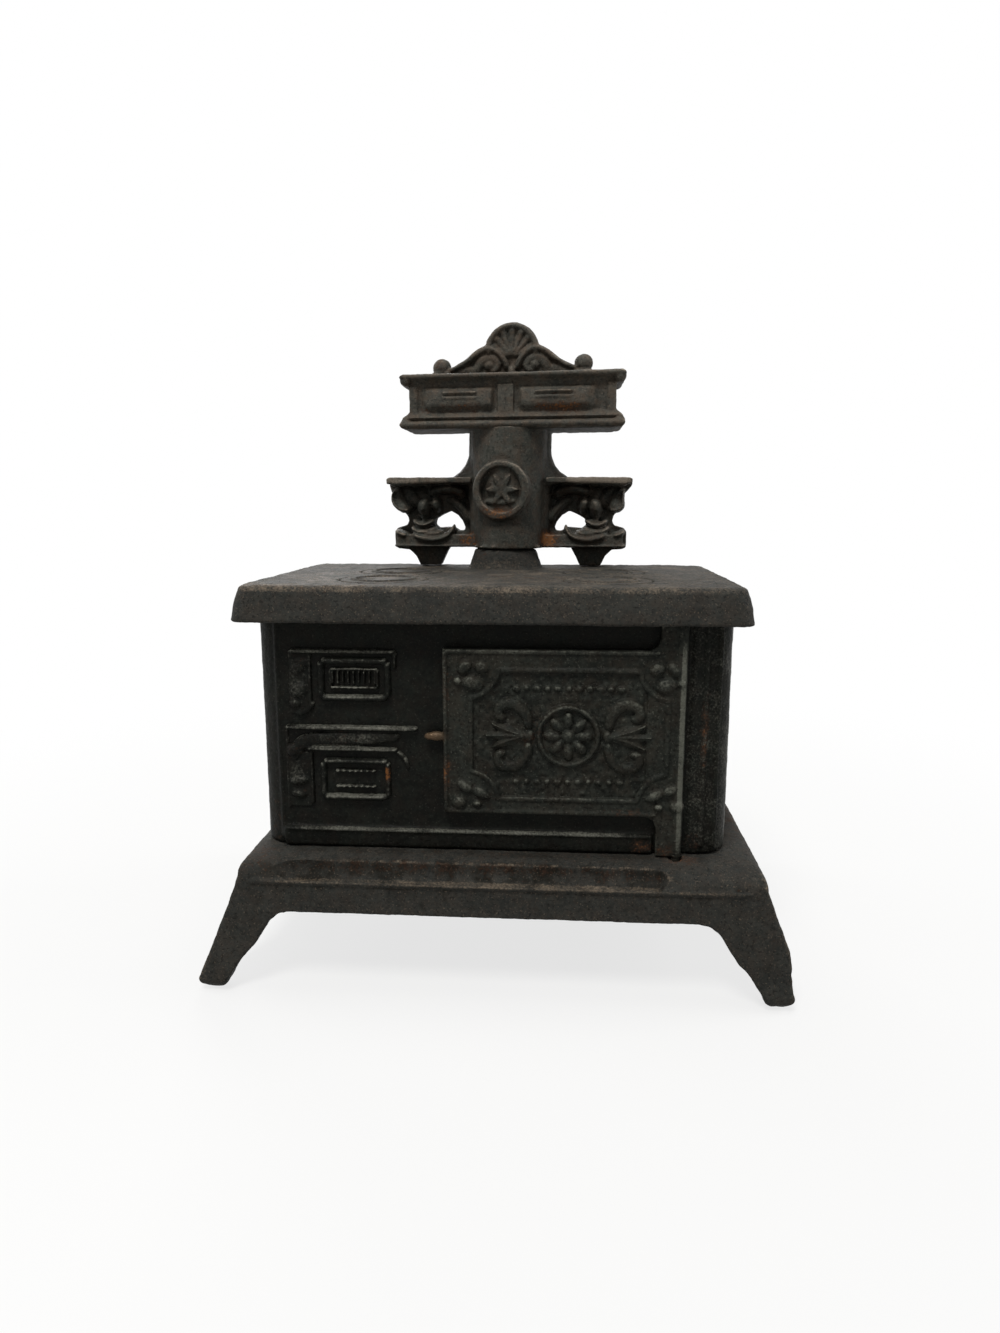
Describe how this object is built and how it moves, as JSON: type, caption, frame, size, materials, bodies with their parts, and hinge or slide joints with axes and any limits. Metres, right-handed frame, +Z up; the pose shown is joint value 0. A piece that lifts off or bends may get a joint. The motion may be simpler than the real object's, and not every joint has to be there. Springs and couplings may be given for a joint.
{
  "type": "cast iron toy stove",
  "caption": "Cast iron toy cooking stove on flared legs, with a swinging oven door, lift-off lids, a stovepipe, bracket shelves and a warming closet.",
  "frame": {"origin": "on the ground, under the middle of the base", "axes": "+Z up, -Y out of the stove's front where the oven door is, +X to the right seen from the front"},
  "size_m": [0.1138, 0.0726, 0.1322],
  "materials": {
    "iron_black": "worn glossy black japan over cast iron, rust at edges",
    "iron_grey": "dark grainy cast iron with a brown bloom",
    "iron_brown": "dark grainy cast iron with brown rust in the hollows",
    "steel_aged": "dull rusty steel"
  },
  "bodies": {
    "root": {"base_casting": "iron_grey", "front_panel": "iron_black", "left_side_panel": "iron_black", "right_side_panel": "iron_black", "back_panel": "iron_black", "top_plate": "iron_grey", "shelf_casting": "iron_brown", "tie_bolt": "steel_aged", "tie_nut": "steel_aged", "shelf_screw": "steel_aged"},
    "door": {"oven_door": "iron_black"},
    "lid_fl": {"lid_front_left": "iron_grey"},
    "lid_fr": {"lid_front_right": "iron_grey"},
    "lid_bl": {"lid_back_left": "iron_grey"},
    "lid_br": {"lid_back_right": "iron_grey"}
  },
  "joints": [
    {"name": "door_hinge", "type": "hinge", "parent": "root", "child": "door", "pos_m": [0.0353, -0.0264, 0.05], "axis": [0, 0, 1], "range_deg": [0, 115]},
    {"name": "lift_fl", "type": "slide", "parent": "root", "child": "lid_fl", "axis": [0, 0, 1], "range_m": [0, 0.015]},
    {"name": "lift_fr", "type": "slide", "parent": "root", "child": "lid_fr", "axis": [0, 0, 1], "range_m": [0, 0.015]},
    {"name": "lift_bl", "type": "slide", "parent": "root", "child": "lid_bl", "axis": [0, 0, 1], "range_m": [0, 0.015]},
    {"name": "lift_br", "type": "slide", "parent": "root", "child": "lid_br", "axis": [0, 0, 1], "range_m": [0, 0.015]}
  ]
}
